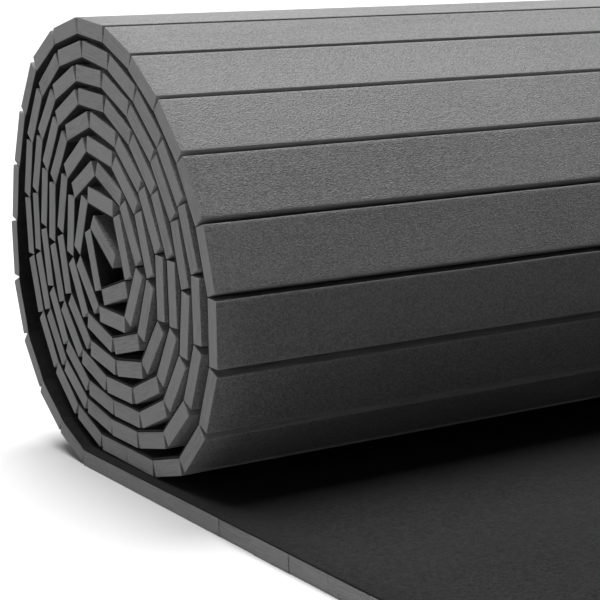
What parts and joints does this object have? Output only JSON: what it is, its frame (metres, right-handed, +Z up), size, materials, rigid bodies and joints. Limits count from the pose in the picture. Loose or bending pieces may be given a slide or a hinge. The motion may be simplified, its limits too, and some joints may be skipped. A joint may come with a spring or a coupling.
{
  "type": "roll-out gym mat",
  "caption": "Long closed-cell foam exercise mat slit into slats on its underside, joined by a textured cover, partly unrolled from a wide roll.",
  "frame": {"origin": "centre of the bounding box's bottom face, on the floor the mat lies on", "axes": "+X along the roll's axis and the mat's width, -Y the way the mat unrolls forward, +Z up"},
  "size_m": [1.847, 1.9355, 0.8404],
  "materials": {
    "foam": "satin",
    "cover": "matte"
  },
  "bodies": {
    "base": {"base_foam": "foam", "base_cover": "cover"},
    "front_1": {"front_1_foam": "foam", "front_1_cover": "cover"},
    "front_2": {"front_2_foam": "foam", "front_2_cover": "cover"},
    "front_3": {"front_3_foam": "foam", "front_3_cover": "cover"},
    "front_4": {"front_4_foam": "foam", "front_4_cover": "cover"},
    "front_5": {"front_5_foam": "foam", "front_5_cover": "cover"},
    "front_6": {"front_6_foam": "foam", "front_6_cover": "cover"},
    "front_7": {"front_7_foam": "foam", "front_7_cover": "cover"},
    "front_8": {"front_8_foam": "foam", "front_8_cover": "cover"},
    "back_1": {"back_1_foam": "foam", "back_1_cover": "cover"},
    "back_2": {"back_2_foam": "foam", "back_2_cover": "cover"},
    "back_3": {"back_3_foam": "foam", "back_3_cover": "cover"},
    "back_4": {"back_4_foam": "foam", "back_4_cover": "cover"},
    "back_5": {"back_5_foam": "foam", "back_5_cover": "cover"},
    "back_6": {"back_6_foam": "foam", "back_6_cover": "cover"},
    "back_7": {"back_7_foam": "foam", "back_7_cover": "cover"},
    "back_8": {"back_8_foam": "foam", "back_8_cover": "cover"},
    "back_9": {"back_9_foam": "foam", "back_9_cover": "cover"},
    "roll": {"roll_wrap_1_foam": "foam", "roll_wrap_1_cover": "cover", "roll_wrap_2_foam": "foam", "roll_wrap_2_cover": "cover", "roll_wrap_3_foam": "foam", "roll_wrap_3_cover": "cover", "roll_wrap_4_foam": "foam", "roll_wrap_4_cover": "cover", "roll_wrap_5_foam": "foam", "roll_wrap_5_cover": "cover", "roll_wrap_6_foam": "foam", "roll_wrap_6_cover": "cover", "roll_wrap_7_foam": "foam", "roll_wrap_7_cover": "cover"}
  },
  "joints": [
    {"name": "front_1_hinge", "type": "hinge", "parent": "base", "child": "front_1", "pos_m": [0, -0.05596, 0.031], "axis": [-1, 0, 0], "range_deg": [0, 20]},
    {"name": "front_2_hinge", "type": "hinge", "parent": "front_1", "child": "front_2", "pos_m": [0, -0.16996, 0.031], "axis": [-1, 0, 0], "range_deg": [0, 20]},
    {"name": "front_3_hinge", "type": "hinge", "parent": "front_2", "child": "front_3", "pos_m": [0, -0.28396, 0.031], "axis": [-1, 0, 0], "range_deg": [0, 20]},
    {"name": "front_4_hinge", "type": "hinge", "parent": "front_3", "child": "front_4", "pos_m": [0, -0.39796, 0.031], "axis": [-1, 0, 0], "range_deg": [0, 20]},
    {"name": "front_5_hinge", "type": "hinge", "parent": "front_4", "child": "front_5", "pos_m": [0, -0.51196, 0.031], "axis": [-1, 0, 0], "range_deg": [0, 20]},
    {"name": "front_6_hinge", "type": "hinge", "parent": "front_5", "child": "front_6", "pos_m": [0, -0.62596, 0.031], "axis": [-1, 0, 0], "range_deg": [0, 20]},
    {"name": "front_7_hinge", "type": "hinge", "parent": "front_6", "child": "front_7", "pos_m": [0, -0.73996, 0.031], "axis": [-1, 0, 0], "range_deg": [0, 20]},
    {"name": "front_8_hinge", "type": "hinge", "parent": "front_7", "child": "front_8", "pos_m": [0, -0.85396, 0.031], "axis": [-1, 0, 0], "range_deg": [0, 20]},
    {"name": "back_1_hinge", "type": "hinge", "parent": "base", "child": "back_1", "pos_m": [0, 0.62804, 0.031], "axis": [-1, 0, 0], "range_deg": [0, 20]},
    {"name": "back_2_hinge", "type": "hinge", "parent": "back_1", "child": "back_2", "pos_m": [0, 0.73517, 0.06999], "axis": [-1, 0, 0], "range_deg": [0, 13]},
    {"name": "back_3_hinge", "type": "hinge", "parent": "back_2", "child": "back_3", "pos_m": [0, 0.83078, 0.13208], "axis": [-1, 0, 0], "range_deg": [0, 18]},
    {"name": "back_4_hinge", "type": "hinge", "parent": "back_3", "child": "back_4", "pos_m": [0, 0.90252, 0.22067], "axis": [-1, 0, 0], "range_deg": [0, 21.5]},
    {"name": "back_5_hinge", "type": "hinge", "parent": "back_4", "child": "back_5", "pos_m": [0, 0.9368, 0.3294], "axis": [-1, 0, 0], "range_deg": [0, 20.5]},
    {"name": "back_6_hinge", "type": "hinge", "parent": "back_5", "child": "back_6", "pos_m": [0, 0.93083, 0.44324], "axis": [-1, 0, 0], "range_deg": [0, 12]},
    {"name": "back_7_hinge", "type": "hinge", "parent": "back_6", "child": "back_7", "pos_m": [0, 0.90133, 0.55336], "axis": [-1, 0, 0], "range_deg": [0, 11]},
    {"name": "back_8_hinge", "type": "hinge", "parent": "back_7", "child": "back_8", "pos_m": [0, 0.85135, 0.65582], "axis": [-1, 0, 0], "range_deg": [0, 13.38]},
    {"name": "back_9_hinge", "type": "hinge", "parent": "back_8", "child": "back_9", "pos_m": [0, 0.77903, 0.74394], "axis": [-1, 0, 0], "range_deg": [0, 25.34]},
    {"name": "roll_hinge", "type": "hinge", "parent": "back_9", "child": "roll", "pos_m": [0, 0.67595, 0.79262], "axis": [-1, 0, 0], "range_deg": [0, 16.63]}
  ]
}
